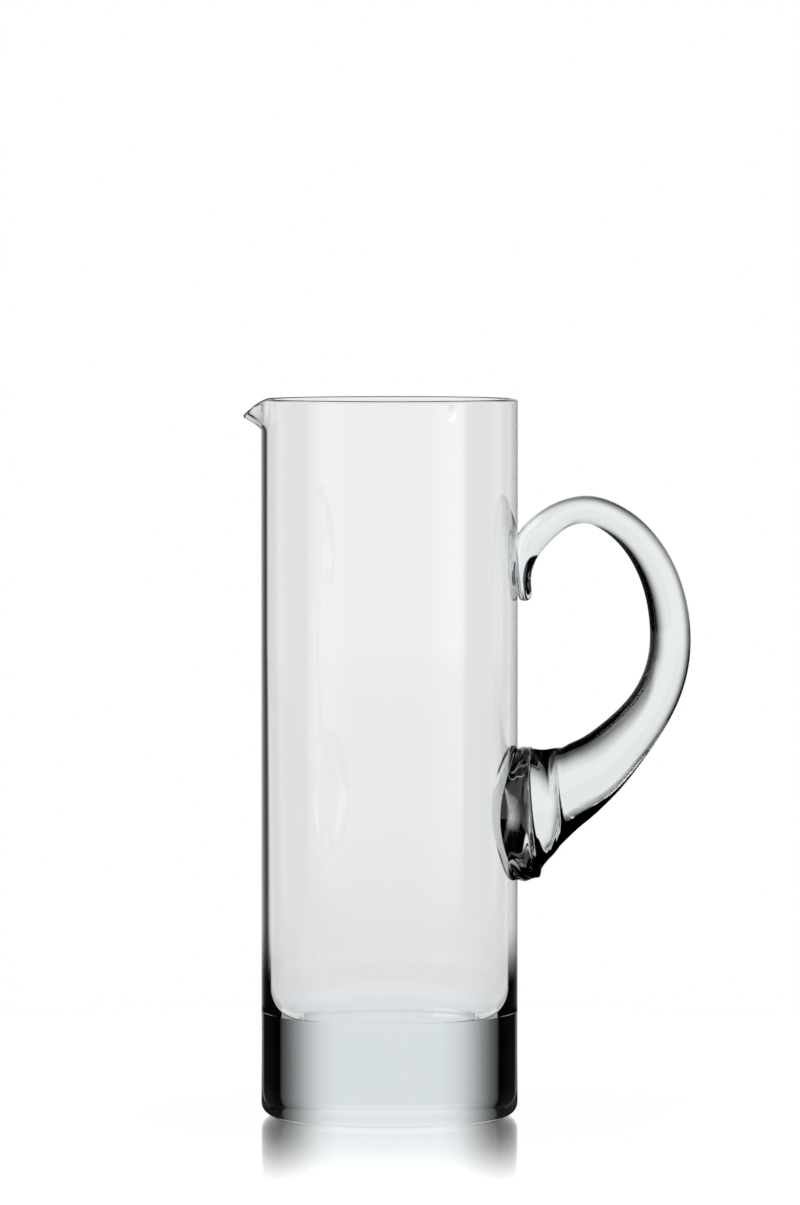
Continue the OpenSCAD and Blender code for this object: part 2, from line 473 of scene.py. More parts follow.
@dataclass
class Vessel:
    """The blown body: straight wall, solid base, rounded rim and drawn pouring lip. Sizes in mm."""

    radius: float = 44.0
    height: float = 246.0
    rim_wall: float = 1.9  # wall at the rim and down the straight part
    low_wall: float = 3.3  # wall just above the base
    straight: float = 85.0  # how far below the rim the wall starts to thicken
    base: float = 34.5  # height of the inner floor
    floor_round: float = 10.5  # rounding from the inner floor into the wall
    foot_round: float = 4.5  # rounding of the foot's edge
    lip_reach: float = 6.0  # how far the lip's tip stands out
    lip_drop: float = 5.0  # how far the tip is drawn down
    lip_height: float = 10.0  # how far below the rim the lip starts
    lip_half_angle: float = 20.0  # half of the lip's width, in degrees round the axis
    lip_flare: float = 0.22  # how much the lip curves outwards, from 0 for a straight slope
    lip_droop_power: float = 1.4  # how much narrower the drawn-down part is
    lip_probe: float = 0.01  # share of the lip's height over which its slope is taken
    wall_row: float = 5.0  # longest step along plain parts
    lip_row: float = 0.5  # longest step in the lip
    edge_row: float = 0.6  # short step beside each rounding, so that its shading ends there
    weld: float = 0.002  # distance within which turned vertices merge
    finish: BlownGlass = BlownGlass("blown_clear_glass", "#FDFEFF", (30.0, 30.0, 55.0))

    def build(self) -> Object:
        """Models the vessel.

        Returns:
            The vessel's object, at the origin.
        """
        piece = self.draw_section()
        self.turn()
        self.pull_lip(piece)
        deselect_all()
        piece.data.materials.append(self.finish.make())
        return piece

    def draw_section(self) -> Object:
        """Draws half of the section by extruding and spinning one vertex, from the foot to the floor.

        Returns:
            The new object, in edit mode.
        """
        deselect_all()
        bpy.ops.mesh.primitive_plane_add(size=mm(1.0))
        piece = bpy.context.object
        piece.name = "pitcher_vessel"
        bpy.ops.object.mode_set(mode="EDIT")
        bpy.ops.mesh.merge(type="CENTER")
        rim = self.rim_wall / 2.0
        lip_root = self.height - self.lip_height - 2.0 * self.rim_wall
        foot = self.radius - self.foot_round
        low = self.radius - self.low_wall
        corner = self.base + self.floor_round
        self.line_to(foot - self.edge_row, 0.0, self.wall_row)
        self.line_to(foot, 0.0, self.edge_row)
        self.arc(foot, self.foot_round, 90.0)
        self.line_to(self.radius, self.foot_round + self.edge_row, self.edge_row)
        self.line_to(self.radius, lip_root, self.wall_row)
        self.line_to(self.radius, self.height - rim, self.lip_row)
        self.arc(self.radius - rim, self.height - rim, 180.0)
        self.line_to(self.radius - self.rim_wall, lip_root, self.lip_row)
        self.line_to(self.radius - self.rim_wall, self.height - self.straight, self.wall_row)
        self.line_to(low, corner + self.edge_row, self.wall_row)
        self.line_to(low, corner, self.edge_row)
        self.arc(low - self.floor_round, corner, -90.0)
        self.line_to(low - self.floor_round - self.edge_row, self.base, self.edge_row)
        self.line_to(0.0, self.base, self.wall_row)
        return piece

    @staticmethod
    def selected_place() -> Vector:
        """Gives the place of the one selected vertex, in mm."""
        shape = bmesh.from_edit_mesh(bpy.context.object.data)
        return next(v.co for v in shape.verts if v.select) * MM_PER_M

    def line_to(self, out: float, up: float, row: float) -> None:
        """Extrudes the selected vertex to a place in equal steps.

        Args:
            out: Distance from the axis.
            up: Height.
            row: The longest step.
        """
        way = Vector((out, 0.0, up)) - self.selected_place()
        steps = max(1, math.ceil(way.length / row - ROUNDING))
        for _ in range(steps):
            bpy.ops.mesh.extrude_vertices_move(TRANSFORM_OT_translate={"value": way * mm(1.0) / steps})

    @staticmethod
    def arc(out: float, up: float, turn: float) -> None:
        """Spins the selected vertex by degrees about a point so far out from the axis and so far up."""
        bpy.ops.mesh.spin(steps=Mesh.FILLET_STEPS.value, angle=math.radians(turn),
                          center=(mm(out), 0.0, mm(up)), axis=(0.0, 1.0, 0.0))

    def turn(self) -> None:
        """Spins the section round the axis into a closed shell that faces outwards."""
        bpy.ops.mesh.select_all(action="SELECT")
        bpy.ops.mesh.spin(steps=Mesh.TURN_STEPS.value, angle=math.tau,
                          center=(0.0, 0.0, 0.0), axis=(0.0, 0.0, 1.0))
        bpy.ops.mesh.select_all(action="SELECT")
        bpy.ops.mesh.remove_doubles(threshold=mm(self.weld))
        bpy.ops.mesh.normals_make_consistent(inside=False)

    def sheet(self, angle: float, share: float) -> Vector:
        """Gives the middle of the lip's drawn sheet.

        Args:
            angle: Angle from the lip's tip, in degrees.
            share: Share of the lip's height, from its root to the rim.

        Returns:
            Distance from the axis and height, in mm.
        """
        drawn = math.cos(math.radians(90.0 * angle / self.lip_half_angle)) ** 2
        flare = (1.0 + self.lip_flare) * share ** 2 / (share + self.lip_flare) if share > 0.0 else 0.0
        rim = self.rim_wall / 2.0
        rise = self.height - rim - (1.0 - share) * self.lip_height
        return Vector((self.radius - rim + self.lip_reach * drawn * flare,
                       rise - self.lip_drop * drawn ** self.lip_droop_power * flare))

    def pull_lip(self, piece: Object) -> None:
        """Draws the rim out and down on the -X side, keeping the wall's thickness."""
        shape = bmesh.from_edit_mesh(piece.data)
        rim = self.rim_wall / 2.0
        for vertex in shape.verts:
            place = vertex.co * MM_PER_M
            angle = math.degrees(math.atan2(place.y, -place.x))
            share = (place.z - (self.height - rim - self.lip_height)) / self.lip_height
            if share <= 0.0 or abs(angle) >= self.lip_half_angle:
                continue
            over = max(0.0, place.z - (self.height - rim))
            share = min(share, 1.0)
            along = self.sheet(angle, share) - self.sheet(angle, share - self.lip_probe)
            along.normalize()
            aside = Vector((along.y, -along.x))
            out = math.hypot(place.x, place.y) - (self.radius - rim)
            moved = self.sheet(angle, share) + out * aside + over * along
            turn = math.radians(angle)
            vertex.co = Vector((-moved.x * math.cos(turn), moved.x * math.sin(turn), moved.y)) * mm(1.0)
        bmesh.update_edit_mesh(piece.data)


class Section(NamedTuple):
    """One section of the handle: its place and size in mm, and its shape."""

    out: float  # distance of its middle from the vessel's axis
    up: float  # height of its middle
    thick: float  # size in the loop's plane
    wide: float  # size across the loop
    wrap: float = 0.0  # share by which it follows the round of the wall
    turn: float = 0.0  # share by which it turns with the path
    full: float = 0.0  # share by which its outer side is fuller than its inner side
    # Sharpness of the ridge along its top: depth of the flanks for each mm of half width, or 0.
    ridge: float = 0.0
    keel: float = 0.0  # sharpness of the keel along its bottom, in the same way
    square: float = 0.0  # share by which its oval is squared up, from 0 for a plain oval


@dataclass
class Handle:
    """The applied handle: seal, drawn rod and pressed tail, as one bit of glass. Sizes in mm."""

    vessel: Vessel
    seal_z: float = 103.5  # height of the seal's middle
    seal_height: float = 46.5
    seal_width: float = 48.0
    seal_proud: float = 5.5  # how far the seal stands out of the wall
    reach: float = 52.7  # how far the loop's middle line stands out of the wall
    rim_gap: float = 37.5  # how far the crown's middle line lies below the rim
    grip: float = 13.4  # thickness of the rod where the hand holds it
    grip_width: float = 11.4
    crown: float = 9.4  # thickness at the crown
    tail_length: float = 18.5
    tail_width: float = 19.0
    tail: float = 5.6  # thickness of the tail
    tail_top_share: float = 0.7  # share of its length by which it starts below the crown
    full_share: float = 0.24  # how much fuller the rod's outer side is
    flank_blend: float = 5.0  # how crisply the flanks of a ridge or keel meet the oval
    bury: float = 0.05  # how deep the handle sits in the wall
    seam_gap: float = 0.01  # gap left round the handle in its seat
    crease: float = 40.0  # angle in degrees above which an edge stays crisp
    smoothing_passes: int = 12  # how often the path and its sections are smoothed
    finish: DrawnGlass = DrawnGlass("drawn_clear_glass", "#F8FCFD", (22.0, 9.0, 22.0))
    seam: FusedSeam = FusedSeam()

    def stations(self) -> list[Section]:
        """Lists the sections from the seal to the tip of the tail.

        Returns:
            The sections, as shares of the sizes above, which the loops name column by column.
        """
        wall = self.vessel.radius
        rise = self.vessel.height - self.rim_gap - self.seal_z
        tail_top = self.seal_z + rise - self.tail_length * self.tail_top_share
        # The first section lies a third of the wall deep, and is trimmed to the wall later.
        sink = self.vessel.low_wall / 3.0
        found = [Section(wall - sink, self.seal_z, self.seal_height - 2.0 * sink,
                         self.seal_width - 2.0 * sink, 1.0)]
        # The seal on the wall, then the upright blade that leaves it.
        for out, up, tall, wide, wrap, turn, ridge, keel in (
                (0.35, 0.0, 1.0, 0.92, 1.0, 0.0, 0.0, 0.0), (0.65, 0.0, 0.985, 0.86, 1.0, 0.0, 0.0, 0.0),
                (0.84, 0.005, 0.975, 0.75, 1.0, 0.0, 0.0, 0.0), (0.96, 0.01, 0.97, 0.58, 1.0, 0.1, 0.0, 0.0),
                (1.0, 0.012, 0.965, 0.44, 1.0, 0.13, 0.3, 0.0), (1.22, 0.034, 0.9, 0.43, 0.5, 0.12, 0.6, 0.0),
                (1.6, 0.058, 0.835, 0.42, 0.1, 0.1, 1.0, 0.0), (2.0, 0.085, 0.785, 0.4, 0.0, 0.1, 1.3, 0.5),
                (2.35, 0.115, 0.74, 0.345, 0.0, 0.1, 0.8, 1.0), (2.6, 0.135, 0.71, 0.31, 0.0, 0.1, 0.3, 1.4)):
            found.append(Section(
                wall + self.seal_proud * out, self.seal_z + self.seal_height * up, self.seal_height * tall,
                self.seal_width * wide, wrap, turn, 0.0, ridge, keel))
        # The rod, from the thick lower arm round the grip to the crown.
        for out, up, swell, thin, spread, turn, full, keel in (
                (0.344, 0.086, 0.45, 0.0, 0.085, 0.3, 0.0, 1.1),
                (0.426, 0.118, 0.365, 0.0, 0.075, 0.6, 0.3, 0.7),
                (0.581, 0.183, 0.232, 0.0, 0.055, 1.0, 0.8, 0.1),
                (0.802, 0.304, 0.1, 0.0, 0.02, 1.0, 1.0, 0.0),
                (0.937, 0.421, 0.047, 0.0, 0.0, 1.0, 1.0, 0.0), (0.993, 0.55, 0.021, 0.0, 0.0, 1.0, 1.0, 0.0),
                (0.967, 0.70, 0.01, 0.05, 0.0, 1.0, 1.0, 0.0), (0.87, 0.83, 0.0, 0.25, 0.0, 1.0, 0.8, 0.0),
                (0.71, 0.933, 0.0, 0.55, 0.0, 1.0, 0.5, 0.0), (0.49, 0.995, 0.0, 0.92, 0.02, 1.0, 0.2, 0.0),
                (0.29, 0.98, 0.0, 1.0, 0.08, 1.0, 0.0, 0.0)):
            thick = self.grip + (self.seal_height - self.grip) * swell + (self.crown - self.grip) * thin
            wide = self.grip_width + (self.seal_width - self.grip_width) * spread
            found.append(Section(wall + self.reach * out, self.seal_z + rise * up, thick, wide, 0.0, turn,
                                 self.full_share * full, 0.0, keel))
        # The tail, pressed on the wall, down to its blunt tip.
        for out, down, thick, wide, wrap, square in (
                (1.34, -0.28, 1.85, 1.0, 0.3, 0.0), (0.62, 0.0, 1.76, 1.0, 1.0, 0.15),
                (0.38, 0.38, 1.1, 1.0, 1.0, 0.25), (0.38, 0.66, 0.85, 0.95, 1.0, 0.2),
                (0.42, 0.86, 0.88, 0.8, 1.0, 0.1), (0.42, 0.98, 0.7, 0.55, 1.0, 0.0),
                (0.42, 1.02, 0.3, 0.25, 1.0, 0.0)):
            found.append(Section(
                wall + self.tail * out, tail_top - self.tail_length * down, self.tail * thick,
                self.tail_width * wide, wrap, 1.0, square=square))
        return found

    def line(self) -> list[Section]:
        """Runs a smooth curve through the stations, then evens it out.

        Returns:
            Closely spaced sections from the seal to the tip.
        """
        places = self.stations()
        steps = Mesh.STATION_STEPS.value
        fine: list[Section] = []
        for i in range(len(places) - 1):
            a, b = places[max(0, i - 1)], places[i]
            c, d = places[i + 1], places[min(len(places) - 1, i + 2)]
            for k in range(steps):
                t = k / steps
                # A cubic curve through b and c, whose slopes come from the stations on either side.
                fine.append(Section(*(
                    (2 * q + (r - p) * t + (2 * p - 5 * q + 4 * r - s) * t ** 2
                     + (3 * q - p - 3 * r + s) * t ** 3) / 2
                    for p, q, r, s in zip(a, b, c, d))))
        fine.append(places[-1])
        for _ in range(self.smoothing_passes):
            middle = [Section(*((p + 2.0 * q + r) / 4.0 for p, q, r in zip(*fine[i - 1:i + 2])))
                      for i in range(1, len(fine) - 1)]
            fine = [fine[0], *middle, fine[-1]]
        return fine

    def ring(self, line: list[Section], i: int) -> list[Vector]:
        """Lays out one section: an oval, fuller on the loop's outer side, wrapped round the wall.

        Args:
            line: The handle's sections.
            i: Which one.

        Returns:
            The ring's points in metres.
        """
        before, after = line[max(0, i - 1)], line[min(len(line) - 1, i + 1)]
        here = line[i]
        lean = math.atan2(after.up - before.up, after.out - before.out) * min(1.0, max(0.0, here.turn))
        wall = self.vessel.radius
        half = here.thick / 2.0
        points: list[Vector] = []
        for k in range(Mesh.ROD_SIDES.value):
            q = math.tau * k / Mesh.ROD_SIDES.value
            lift, side = (math.copysign(abs(part) ** (1.0 - here.square), part)
                          for part in (math.cos(q), math.sin(q)))
            across = half * lift
            y = here.wide / 2.0 * side * (1.0 + here.full * lift)
            for sharp, depth in ((here.keel, half - across), (here.ridge, half + across)):
                if sharp > 0.0 and depth > 0.0:
                    y /= (1.0 + (abs(y) * sharp / depth) ** self.flank_blend) ** (1.0 / self.flank_blend)
            sag = here.wrap * (wall - math.sqrt(max(0.0, wall * wall - y * y)))
            place = (here.out + across * math.sin(lean) - sag, y, here.up - across * math.cos(lean))
            points.append(Vector(place) * mm(1.0))
        return points

    def build(self, body: Object) -> Object:
        """Models the handle and seats it in the vessel's wall.

        Args:
            body: The vessel's object, which gets the seat.

        Returns:
            The handle's object, at the origin.
        """
        piece = self.draw_out()
        piece.data.materials.append(self.finish.make())
        seam = self.seam.make()
        self.trim(piece, seam)
        self.seat(piece, body, seam)
        for glass in (piece, body):
            make_active(glass)
            bpy.ops.object.shade_smooth_by_angle(angle=math.radians(self.crease))
        return piece

    def draw_out(self) -> Object:
        """Extrudes a disc ring by ring along the path, as the hot bit is drawn out.

        Returns:
            The handle's object before it is trimmed to the wall.
        """
        line = self.line()
        deselect_all()
        bpy.ops.mesh.primitive_circle_add(vertices=Mesh.ROD_SIDES.value, radius=mm(self.grip),
                                          fill_type="NGON")
        piece = bpy.context.object
        piece.name = "pitcher_handle"
        bpy.ops.object.mode_set(mode="EDIT")
        shape = bmesh.from_edit_mesh(piece.data)
        side = shape.verts.layers.int.new("side")
        for k, vertex in enumerate(shape.verts):
            vertex[side] = k
        for i in range(len(line)):
            if i:
                bpy.ops.mesh.extrude_region_move()
            shape = bmesh.from_edit_mesh(piece.data)
            side = shape.verts.layers.int["side"]
            ring = self.ring(line, i)
            for vertex in shape.verts:
                if vertex.select:
                    vertex.co = ring[vertex[side]]
        bmesh.update_edit_mesh(piece.data)
        bpy.ops.mesh.merge(type="CENTER")
        bpy.ops.mesh.select_all(action="SELECT")
        bpy.ops.mesh.normals_make_consistent(inside=False)
        deselect_all()
        return piece

    def trim(self, piece: Object, seam: Material) -> None:
        """Cuts the handle to the round of the wall, a hair inside it, and marks the cut as the fused seam."""
        deselect_all()
        radius, tall = self.vessel.radius - self.bury, self.vessel.height
        bpy.ops.mesh.primitive_cylinder_add(vertices=Mesh.TURN_STEPS.value, radius=mm(radius), depth=mm(tall),
                                            location=(0.0, 0.0, mm(tall / 2.0)))
        cutter = bpy.context.object
        cutter.data.materials.append(seam)
        self.cut(piece, cutter)

    def seat(self, piece: Object, body: Object, seam: Material) -> None:
        """Sinks the handle's seat into the vessel's wall, so that the two fit face to face."""
        make_active(piece)
        bpy.ops.object.duplicate()
        cutter = bpy.context.object
        cutter.data.materials.clear()
        cutter.data.materials.append(seam)
        apply_modifier(cutter, "DISPLACE", strength=mm(self.seam_gap), mid_level=0.0)
        self.cut(body, cutter)

    @staticmethod
    def cut(piece: Object, cutter: Object) -> None:
        """Cuts a piece with an object, whose material the cut face takes over, and removes that object."""
        apply_modifier(piece, "BOOLEAN", object=cutter, operation="DIFFERENCE", solver="EXACT",
                       material_mode="TRANSFER")
        bpy.data.objects.remove(cutter)


@dataclass
class Floor:
    """White gloss acrylic floor: a mirror of the foot that soon fades, a soft shadow, and a disc of painted
    light under the foot that only the glass sees. Sizes in mm.
    """

    radius: float = 400.0  # where it has faded into the background
    drop: float = 0.15  # how far it lies below the foot
    white: float = 0.96  # brightness of its matt white
    ior: float = 1.5
    gain: float = 1.75  # how much stronger its gloss is than a bare skin's
    gloss_near: float = 40.0  # radius up to which the gloss is full
    gloss_far: float = 275.0  # where the gloss ends and the floor starts to fade
    glow_radius: float = 39.5  # radius of the disc of painted light, which glows under the base though it is no lamp
    glow: float = 0.85  # brightness of that disc

    def build(self) -> None:
        """Lays the floor under the foot."""
        deselect_all()
        bpy.ops.mesh.primitive_circle_add(vertices=Mesh.FLOOR_SIDES.value, radius=mm(self.radius),
                                          fill_type="NGON", location=(0.0, 0.0, -mm(self.drop)))
        floor = bpy.context.object
        floor.name = "studio_floor"
        floor.data.materials.append(self.make())

    def make(self) -> Material:
        """Builds the material.

        Returns:
            A floor that the camera sees as white acrylic, and that the glass sees with painted light under
            the foot.
        """
        material = bare_material("white_gloss_acrylic_floor")
        tree = material.node_tree
        place = add_node(tree, "TexCoord").outputs["Object"]
        away = add_node(tree, "VectorMath", {"operation": "LENGTH"}, links={0: place}).outputs["Value"]
        ray = add_node(tree, "LightPath").outputs
        bent = add_node(tree, "Math", LARGER, links={0: ray["Is Glossy Ray"], 1: ray["Is Transmission Ray"]})
        whole = add_node(tree, "MixShader", links={0: bent, 1: self.add_acrylic(tree, away),
                                                   2: self.add_table(tree, place, away, ray["Glossy Depth"])})
        add_node(tree, "OutputMaterial", links={"Surface": whole})
        return material

    def add_acrylic(self, tree: Tree, away: Socket) -> Node:
        """Adds the white floor with its fading gloss.

        Args:
            tree: The material's node tree.
            away: Distance from the axis.

        Returns:
            What the camera sees.
        """
        near, edge = (add_node(tree, "MapRange", SOFT, {"From Min": mm(self.gloss_far), "From Max": mm(full)},
                               {"Value": away}) for full in (self.gloss_near, self.radius))
        skin = add_node(tree, "Fresnel", values={"IOR": self.ior})
        gloss = add_node(tree, "Math", TIMES | CLAMP, {1: self.gain}, {0: skin})
        matt = add_node(tree, "BsdfDiffuse", values={"Color": grey(self.white)})
        mirror = add_node(tree, "BsdfGlossy", values={"Roughness": 0.0, "Color": grey(1.0)})
        acrylic = add_node(tree, "MixShader", links={0: add_product(tree, gloss, near), 1: matt, 2: mirror})
        clear = add_node(tree, "BsdfTransparent")
        return add_node(tree, "MixShader", links={0: edge, 1: acrylic, 2: clear})

    def add_table(self, tree: Tree, place: Socket, away: Socket, mirrored: Socket) -> Node:
        """Adds the disc of painted light under the foot, which glows though it is no lamp, and the black
        cards beside it for light that was mirrored.

        Args:
            tree: The material's node tree.
            place: Object coordinates.
            away: Distance from the axis.
            mirrored: How often the ray was mirrored.

        Returns:
            What the glass sees.
        """
        ring = add_node(tree, "ValToRGB", links={"Fac": add_turn(tree, place)}, stops=SIDE_CARDS)
        cards = add_node(tree, "Math", TIMES | CLAMP, links={0: mirrored, 1: ring})
        clear = add_node(tree, "BsdfTransparent")
        black = add_node(tree, "BsdfDiffuse", values={"Color": grey(0.0)})
        sides = add_node(tree, "MixShader", links={0: cards, 1: clear, 2: black})
        # Painted light: the disc under the foot glows for the glass, though it is no lamp.
        light = add_node(tree, "Emission", values={"Color": grey(self.glow)})
        outside = add_node(tree, "Math", ABOVE, {1: mm(self.glow_radius)}, {0: away})
        return add_node(tree, "MixShader", links={0: outside, 1: light, 2: sides})


@dataclass
class Surround:
    """White surround, which glass sees as bright panels with dark gaps, by the light's path.

    A ring holds brightness by the angle in degrees from straight behind, to the right as positive. A falloff
    holds it by elevation in degrees, and a band is a soft step of elevation, from none to full.
    """

    fill_light: float = 1.4  # brightness that matt surfaces get
    # Ring for light that only went through glass.
    behind: Levels = both_sides((
        (16, 0.885), (23, 0.775), (30, 0.5), (34, 0.34), (40, 0.16), (46, 0.06), (47, 0.0), (74, 0.01),
        (84, 0.8), (118, 0.8), (180, 0.8)))
    # Ring for rising light.
    above: Levels = ((-50, 0.0), (-40, 0.05), (-28, 0.2), (-20, 0.42), (-12, 0.68), (-4, 0.88), *SWEEP_HALF)
    # Ring for falling light.
    below: Levels = (
        (-180, 0.05), (-105, 0.05), (-85, 0.3), (-70, 0.3), (-50, 0.02), (-42, 0.08), (-34, 0.36),
        (-26, 0.62), (-14, 0.8), (-6, 0.88), (4, 0.88), (12, 0.68), (20, 0.42), (28, 0.2), (40, 0.05),
        (47, 0.02), (85, 0.05), (100, 0.45), (115, 0.85), (155, 0.85), (172, 0.45), (180, 0.05))
    # Ring for steeply falling light, and for light that was mirrored inside one piece of glass.
    sweep: Levels = both_sides(SWEEP_HALF)
    # Ring for light that was mirrored inside and falls slightly.
    wall: Levels = (
        (-80, 0.0), (-64, 0.7), (-54, 0.75), (-36, 0.75), (-31, 0.1), (-26, 0.04), (-18, 0.2), (-11, 0.45),
        (-4, 0.86), (4, 0.9), (18, 1.0), (29, 0.95), (36, 0.85), (54, 0.75), (64, 0.7), (80, 0.0))
    # Ring for light that was mirrored inside and crossed the fused seam often.
    core: Levels = (
        (-50, 0.0), (-34, 0.02), (-26, 0.04), (-18, 0.2), (-11, 0.45), (-4, 0.86), (4, 0.9), (18, 0.95),
        (26, 0.8), (34, 0.5), (47, 0.0), (50, 0.0))
    # Ring that outer surfaces mirror, with the tall bright panel at the left.
    beside: Levels = (
        (-180, 1.05), (-150, 1.05), (-140, 1.3), (-130, 1.6), (-114, 1.9), (-103, 1.5), (-101, 0.28),
        (-91, 0.28), (-75, 0.42), (-62, 0.55), (-46, 0.75), (-40, 0.3), (-34, 0.05), (-26, 0.12), (-18, 0.4),
        (-11, 0.65), (-4, 0.86), (4, 0.86), (11, 0.45), (18, 0.2), (26, 0.1), (34, 0.08), (40, 0.3),
        (46, 0.7), (62, 0.5), (75, 0.4), (91, 0.27), (108, 0.27), (112, 1.05), (180, 1.05))
    # Ring of the panels in front that end at front_end.
    front: Levels = ((-180, 1.0), (-104, 1.0), (-101, 0.0), (108, 0.0), (112, 1.0), (180, 1.0))
    # Falloff of the rings above, below and sweep.
    falloff: Levels = (
        (-90, 0.0), (-60, 0.02), (-35, 0.12), (-28, 0.4), (-20, 0.85), (-14, 1.0), (15, 1.0), (30, 0.9),
        (60, 0.5), (90, 0.2))
    # Falloff of the sweep for light that was mirrored inside.
    inner_falloff: Levels = (
        (-70, 0.0), (-45, 0.3), (-20, 1.0), (3, 1.0), (6, 1.1), (9, 1.1), (12, 1.0), (35, 1.0), (60, 0.5),
        (80, 0.2))
    # Falloff of the core.
    core_falloff: Levels = ((-70, 0.0), (-45, 0.3), (-20, 1.0), (-1, 1.0), (4, 0.0), (50, 0.0))
    # Pale floor that the thin wall shows.
    floor_falloff: Levels = ((-90, 0.0), (-45, 0.02), (-34, 0.25), (-29, 0.8), (-27, 0.88), (0, 0.88))
    low: Band = (-10.0, -16.0)  # band of falling light
    down: Band = (-29.0, -36.0)  # band of steeply falling light
    up: Band = (14.0, 22.0)  # band of rising light
    gentle: Band = (60.0, 40.0)  # band below which outer surfaces mirror the ring beside
    front_end: Band = (-4.0, -5.1)  # band in which the panels in front end
    cards_top: Band = (-5.0, -5.4)  # band in which the black side cards start
    sheen_from: Band = (0.0, 0.5)  # band above which the floor's gloss shows white
    sheen_to: Band = (28.0, 20.0)  # band below which it does
    sheen: float = 1.0  # brightness of that white
    twice_mirrored: float = 0.02  # brightness of light that was mirrored twice or more
    beside_seam: float = 0.8  # brightness of light that was mirrored inside and crossed the fused seam
    # Brightness of light that was mirrored twice or more and went through both pieces.
    two_bodies: float = 0.6
    # Least brightness of light that crossed the seam and left through another surface.
    through_seam: float = 0.64

    def build(self) -> None:
        """Makes the world: white for the camera, soft fill for matt surfaces, and panels for the glass."""
        world = bpy.data.worlds.new("white_studio")
        bpy.context.scene.world = world
        world.use_nodes = True
        tree = world.node_tree
        tree.nodes.clear()
        way = add_node(tree, "TexCoord").outputs["Generated"]
        up = add_node(tree, "SeparateXYZ", links={"Vector": way}).outputs["Z"]
        rise = add_node(tree, "Math", {"operation": "ARCSINE"}, links={0: up})
        ray = add_node(tree, "LightPath").outputs
        passed = ray["Transmission Depth"]
        inside = add_product(tree, (ABOVE, ray["Glossy Depth"], ONCE), (ABOVE, passed, ONCE),
                             (BELOW, passed, FOUR_TIMES))
        level: Any = None
        for share, other, blend in (*self.add_panels(tree, way, rise, ray, inside),
                                    *self.add_paths(tree, rise, ray, inside)):
            if share is None:
                level = other
                continue
            fixed = isinstance(other, float)
            links = {0: share, 6: level} if fixed else {0: share, 6: level, 7: other}
            level = add_node(tree, "Mix", BLEND | {"blend_type": blend}, {7: grey(other)} if fixed else {},
                             links).outputs[2]
        bent = add_node(tree, "Math", LARGER, links={0: ray["Is Glossy Ray"], 1: ray["Is Transmission Ray"]})
        plain = add_node(tree, "Mix", BLEND, {6: grey(1.0), 7: grey(self.fill_light)},
                         {0: ray["Is Diffuse Ray"]})
        colour = add_node(tree, "Mix", BLEND, links={0: bent, 6: plain.outputs[2], 7: level})
        light = add_node(tree, "Background", links={"Color": colour.outputs[2]})
        add_node(tree, "OutputWorld", links={"Surface": light})

    @staticmethod
    def add_bands(tree: Tree, rise: Node, *bands: Band) -> list[Node]:
        """Adds soft steps of elevation, one for each band."""
        return [add_node(tree, "MapRange", SOFT, links={"Value": rise},
                         values={"From Min": math.radians(none), "From Max": math.radians(full)})
                for none, full in bands]

    def add_panels(self, tree: Tree, way: Socket, rise: Node, ray: Any, inside: Node) -> Rows:
        """Adds the panels that glass sees in each direction.

        Args:
            tree: The world's node tree.
            way: Direction of the ray.
            rise: Its elevation.
            ray: Outputs of the Light Path node.
            inside: 1 for light that was mirrored inside one piece of glass.

        Returns:
            Rows to mix in turn: a share, or None for the first row, a brightness and how the two blend.
        """
        turn = add_turn(tree, way)
        tall = add_node(tree, "MapRange", values=FULL_TURN, links={"Value": rise})
        behind, above, below, sweep, wall, core, beside, front, cards = (
            add_node(tree, "ValToRGB", links={"Fac": turn}, stops=levels)
            for levels in (self.behind, self.above, self.below, self.sweep, self.wall, self.core, self.beside,
                           self.front, SIDE_CARDS))
        outer, inner, deep, floor = (
            add_node(tree, "ValToRGB", links={"Fac": tall}, stops=levels)
            for levels in (self.falloff, self.inner_falloff, self.core_falloff, self.floor_falloff))
        low, down, up, gentle, front_end, cards_top = self.add_bands(
            tree, rise, self.low, self.down, self.up, self.gentle, self.front_end, self.cards_top)
        # Light that left the vessel's own skin, or went through both of its walls, sees the pale floor.
        blown = add_node(tree, "Math", MINUS, {0: 1.0}, {1: ray["Is Singular Ray"]})
        walls = add_product(tree, (ABOVE, ray["Transmission Depth"], FOUR_TIMES))
        thin = add_product(tree, add_node(tree, "Math", LARGER, links={0: walls, 1: blown}), low)
        falling = add_product(tree, (BELOW, rise, 0.0))
        slight = add_node(tree, "Math", MINUS | CLAMP, links={0: falling, 1: low})
        seams = add_product(tree, inside, (ABOVE, ray["Transparent Depth"], FOUR_TIMES))
        mirrored = add_product(tree, (ABOVE, ray["Glossy Depth"], ONCE))
        skin = add_product(tree, add_node(tree, "Math", MINUS, links={0: mirrored, 1: inside}), gentle)
        ended = add_node(tree, "Math", LARGER, links={0: add_product(tree, front, front_end),
                                                      1: add_product(tree, cards, cards_top)})
        shown = add_node(tree, "Mix", BLEND, {7: grey(0.0)}, {0: ended, 6: beside}).outputs[2]
        rows = ((None, behind), (low, add_product(tree, below, outer)),
                (down, add_product(tree, sweep, outer)), (thin, floor),
                (up, add_product(tree, above, outer)), (inside, add_product(tree, sweep, inner)),
                (add_product(tree, inside, slight), wall), (seams, add_product(tree, core, deep)),
                (skin, shown))
        return [(share, other, "MIX") for share, other in rows]

